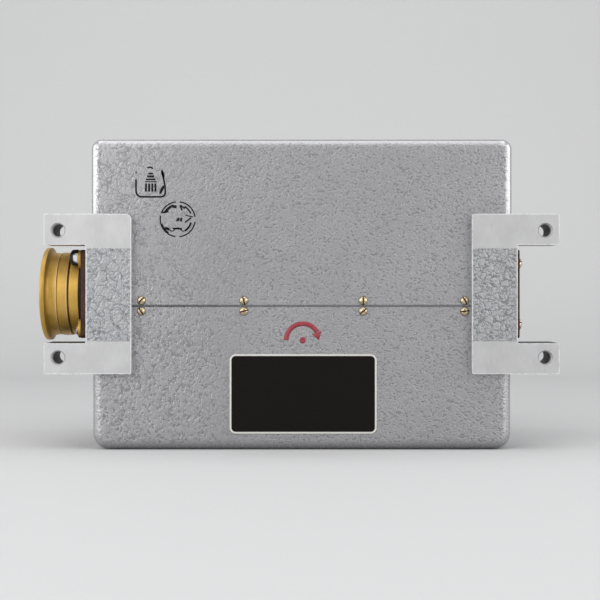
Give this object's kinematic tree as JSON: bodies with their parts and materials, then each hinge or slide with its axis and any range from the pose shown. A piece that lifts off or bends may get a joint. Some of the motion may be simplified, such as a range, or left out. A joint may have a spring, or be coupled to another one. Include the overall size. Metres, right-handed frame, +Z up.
{
  "type": "damping gyro unit",
  "caption": "Closed gyro instrument case with C-shaped mounting brackets at both ends, split covers and a capped round side connector.",
  "frame": {"origin": "centre of the four foot holes, on the mounting plane of the feet", "axes": "+X along the case away from the connector, +Y into the case from the mounting plane, +Z up"},
  "size_m": [0.2832, 0.1176, 0.1696],
  "materials": {
    "hammer_paint": "silver-grey hammer-finish paint",
    "cast_aluminium": "machined ears, painted web",
    "gilt_screws": "pale gilt, slotted",
    "steel_screws": "zinc plated",
    "yellow_chromate": "yellow chromate, satin",
    "brown_laminate": "brown insulating laminate",
    "insulator": "moulded insulator",
    "contact_brass": "silvered contacts",
    "seal_rubber": "soft seal",
    "seal_mastic": "black sealing mastic",
    "plated_cup": "bright plated",
    "black_plate": "black with a bare border",
    "terminal_board": "laminate board",
    "transformer_iron": "laminated iron and windings",
    "relay_cans": "drawn cans",
    "gyro_casting": "machined",
    "bearing_steel": "ground",
    "rotor_alloy": "turned heavy rim",
    "damper_brass": "turned",
    "damper_piston": "turned"
  },
  "bodies": {
    "unit": {"upper_cover": "hammer_paint", "lower_cover": "hammer_paint", "left_bracket": "cast_aluminium", "right_bracket": "cast_aluminium", "chassis": "cast_aluminium", "front_cover_screws": "gilt_screws", "rear_cover_screws": "gilt_screws", "end_plate_screws": "gilt_screws", "connector_screws": "steel_screws", "bracket_screws": "steel_screws", "gyro_stand_screws": "steel_screws", "connector_shell": "yellow_chromate", "connector_gasket": "brown_laminate", "end_plate": "brown_laminate", "connector_insert": "insulator", "connector_contacts": "contact_brass", "seal_mastic": "seal_mastic", "sealing_cup": "plated_cup", "front_plate": "black_plate", "terminal_board": "terminal_board", "transformer": "transformer_iron", "relays": "relay_cans", "capacitors": "relay_cans", "gyro_x_stand": "gyro_casting", "gyro_x_pivot_bearings": "bearing_steel", "gyro_x_torsion_bar": "bearing_steel", "gyro_x_damper_cylinder": "damper_brass", "gyro_x_pickoff": "transformer_iron", "gyro_y_stand": "gyro_casting", "gyro_y_pivot_bearings": "bearing_steel", "gyro_y_torsion_bar": "bearing_steel", "gyro_y_damper_cylinder": "damper_brass", "gyro_y_pickoff": "transformer_iron", "gyro_z_stand": "gyro_casting", "gyro_z_pivot_bearings": "bearing_steel", "gyro_z_torsion_bar": "bearing_steel", "gyro_z_damper_cylinder": "damper_brass", "gyro_z_pickoff": "transformer_iron"},
    "gyro_x_tilting": {"gyro_x_gimbal": "gyro_casting", "gyro_x_spin_axle": "bearing_steel", "gyro_x_rocker": "gyro_casting"},
    "gyro_x_spinning": {"gyro_x_rotor": "rotor_alloy", "gyro_x_spin_bearings": "bearing_steel"},
    "gyro_x_damping": {"gyro_x_damper_piston": "damper_piston"},
    "gyro_y_tilting": {"gyro_y_gimbal": "gyro_casting", "gyro_y_spin_axle": "bearing_steel", "gyro_y_rocker": "gyro_casting"},
    "gyro_y_spinning": {"gyro_y_rotor": "rotor_alloy", "gyro_y_spin_bearings": "bearing_steel"},
    "gyro_y_damping": {"gyro_y_damper_piston": "damper_piston"},
    "gyro_z_tilting": {"gyro_z_gimbal": "gyro_casting", "gyro_z_spin_axle": "bearing_steel", "gyro_z_rocker": "gyro_casting"},
    "gyro_z_spinning": {"gyro_z_rotor": "rotor_alloy", "gyro_z_spin_bearings": "bearing_steel"},
    "gyro_z_damping": {"gyro_z_damper_piston": "damper_piston"},
    "connector_cap": {"protective_cap": "yellow_chromate", "cap_gasket": "seal_rubber"}
  },
  "joints": [
    {"name": "cap_pull_off", "type": "slide", "parent": "unit", "child": "connector_cap", "axis": [-1, 0, 0], "range_m": [0, 0.03]},
    {"name": "gyro_x_tilt", "type": "hinge", "parent": "unit", "child": "gyro_x_tilting", "pos_m": [-0.06925, 0.05675, 0.0265], "axis": [0, 1, 0], "range_deg": [-4, 4], "stiffness_Nm_per_rad": 0.6},
    {"name": "gyro_x_spin", "type": "hinge", "parent": "gyro_x_tilting", "child": "gyro_x_spinning", "pos_m": [-0.06925, 0.05675, 0.0265], "axis": [0, 0, 1], "continuous": true},
    {"name": "gyro_x_damper", "type": "slide", "parent": "unit", "child": "gyro_x_damping", "axis": [0, 0, 1], "range_m": [-0.0011, 0.0011]},
    {"name": "gyro_y_tilt", "type": "hinge", "parent": "unit", "child": "gyro_y_tilting", "pos_m": [-0.00325, 0.06, 0.0265], "axis": [1, 0, 0], "range_deg": [-4, 4], "stiffness_Nm_per_rad": 0.6},
    {"name": "gyro_y_spin", "type": "hinge", "parent": "gyro_y_tilting", "child": "gyro_y_spinning", "pos_m": [-0.00325, 0.06, 0.0265], "axis": [0, 0, 1], "continuous": true},
    {"name": "gyro_y_damper", "type": "slide", "parent": "unit", "child": "gyro_y_damping", "axis": [0, 0, 1], "range_m": [-0.0011, 0.0011]},
    {"name": "gyro_z_tilt", "type": "hinge", "parent": "unit", "child": "gyro_z_tilting", "pos_m": [0.06925, 0.05675, 0.0265], "axis": [0, 1, 0], "range_deg": [-4, 4], "stiffness_Nm_per_rad": 0.6},
    {"name": "gyro_z_spin", "type": "hinge", "parent": "gyro_z_tilting", "child": "gyro_z_spinning", "pos_m": [0.06925, 0.05675, 0.0265], "axis": [1, 0, 0], "continuous": true},
    {"name": "gyro_z_damper", "type": "slide", "parent": "unit", "child": "gyro_z_damping", "axis": [0, 0, 1], "range_m": [-0.0011, 0.0011]}
  ],
  "couplings": [
    {"joint": "gyro_x_damper", "follows": "gyro_x_tilt", "m_per_rad": -0.015},
    {"joint": "gyro_y_damper", "follows": "gyro_y_tilt", "m_per_rad": -0.015},
    {"joint": "gyro_z_damper", "follows": "gyro_z_tilt", "m_per_rad": -0.015}
  ]
}
